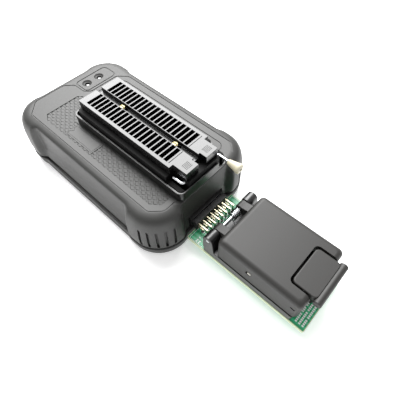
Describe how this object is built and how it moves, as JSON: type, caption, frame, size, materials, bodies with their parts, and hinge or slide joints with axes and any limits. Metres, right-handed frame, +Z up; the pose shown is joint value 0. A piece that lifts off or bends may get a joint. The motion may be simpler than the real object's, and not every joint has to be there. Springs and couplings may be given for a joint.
{
  "type": "usb microcontroller programmer",
  "caption": "Desktop USB chip programmer with a lever-operated socket on top and a green plug-in adapter carrying a hinged clamshell test socket.",
  "frame": {"origin": "on the table, under the centre of the whole object's box", "axes": "+Z up, +X to the right, -Y towards the front with the port and adapter, +Y towards the rear with the USB inlet"},
  "size_m": [0.065, 0.166, 0.039],
  "materials": {
    "case_plastic": "dark grey, finely sparked",
    "foot_rubber": "matt black",
    "plated_steel": "nickel plated",
    "board_laminate": "green solder mask",
    "black_plastic": "black, satin",
    "chip_epoxy": "moulded epoxy",
    "can_aluminium": "satin",
    "lens": "smoked clear acrylic",
    "contact_bronze": "bright",
    "brass": "bright",
    "bright_steel": "bright drawn steel",
    "knob_plastic": "cream, satin gloss",
    "pin_gold": "gold flash",
    "socket_plastic": "dark grey brown, glass filled"
  },
  "bodies": {
    "programmer": {"lower_shell": "case_plastic", "upper_shell": "case_plastic", "foot_front_left": "foot_rubber", "foot_front_right": "foot_rubber", "foot_rear_left": "foot_rubber", "foot_rear_right": "foot_rubber", "case_screw_1": "plated_steel", "case_screw_2": "plated_steel", "case_screw_3": "plated_steel", "case_screw_4": "plated_steel", "main_board": "board_laminate", "socket_board": "board_laminate", "board_link_left": "black_plastic", "board_link_right": "black_plastic", "processor": "chip_epoxy", "logic_chip": "chip_epoxy", "inductor": "chip_epoxy", "crystal": "plated_steel", "capacitor_front": "can_aluminium", "capacitor_rear": "can_aluminium", "usb_inlet": "plated_steel", "usb_tongue": "black_plastic", "lamp_chip_1": "chip_epoxy", "lamp_chip_2": "chip_epoxy", "light_pipe_1": "lens", "light_pipe_2": "lens", "port_socket": "black_plastic", "zif_frame": "black_plastic", "zif_base": "black_plastic", "contact_comb_left": "contact_bronze", "contact_comb_right": "contact_bronze", "zif_stud_rear": "brass", "zif_stud_front": "brass"},
    "zif_lever": {"lever_wire": "bright_steel", "lever_knob": "knob_plastic"},
    "zif_slider": {"zif_top_plate": "black_plastic"},
    "adapter": {"adapter_board": "board_laminate", "header_housing": "black_plastic", "pin_row_lower": "pin_gold", "pin_row_upper": "pin_gold", "socket_base": "socket_plastic", "contact_block": "socket_plastic", "hinge_rod": "bright_steel", "lid_spring": "bright_steel", "socket_screw_1": "plated_steel", "socket_screw_2": "plated_steel", "socket_screw_3": "plated_steel", "socket_screw_4": "plated_steel"},
    "nest": {"chip_nest": "socket_plastic"},
    "lid": {"lid_shell": "socket_plastic", "latch_pin": "bright_steel", "latch_spring": "bright_steel"},
    "pad": {"pressure_pad": "can_aluminium"},
    "latch_arm": {"latch": "socket_plastic"}
  },
  "joints": [
    {"name": "lever_turn", "type": "hinge", "parent": "programmer", "child": "zif_lever", "pos_m": [0.001, -0.0159, 0.0334], "axis": [-1, 0, 0], "range_deg": [0, 90]},
    {"name": "plate_slide", "type": "slide", "parent": "programmer", "child": "zif_slider", "axis": [0, 1, 0], "range_m": [0, 0.0012]},
    {"name": "adapter_pull", "type": "slide", "parent": "programmer", "child": "adapter", "axis": [0, -1, 0], "range_m": [0, 0.01]},
    {"name": "nest_sink", "type": "slide", "parent": "adapter", "child": "nest", "axis": [0, 0, -1], "range_m": [0, 0.0006], "stiffness_N_per_m": 200, "springref_m": -0.001},
    {"name": "lid_swing", "type": "hinge", "parent": "adapter", "child": "lid", "pos_m": [0.0003, -0.0342, 0.0162], "axis": [-1, 0, 0], "range_deg": [0, 80]},
    {"name": "pad_give", "type": "slide", "parent": "lid", "child": "pad", "axis": [0, 0, 1], "range_m": [0, 0.0005], "stiffness_N_per_m": 500, "springref_m": -0.001},
    {"name": "latch_tip", "type": "hinge", "parent": "lid", "child": "latch_arm", "pos_m": [0.0003, -0.074, 0.0194], "axis": [-1, 0, 0], "range_deg": [0, 10], "stiffness_Nm_per_rad": 0.02, "springref_deg": -5.73, "deforming": ["latch_spring"]}
  ],
  "couplings": [
    {"joint": "lever_turn", "follows": "plate_slide", "rad_per_m": 1308.9}
  ]
}
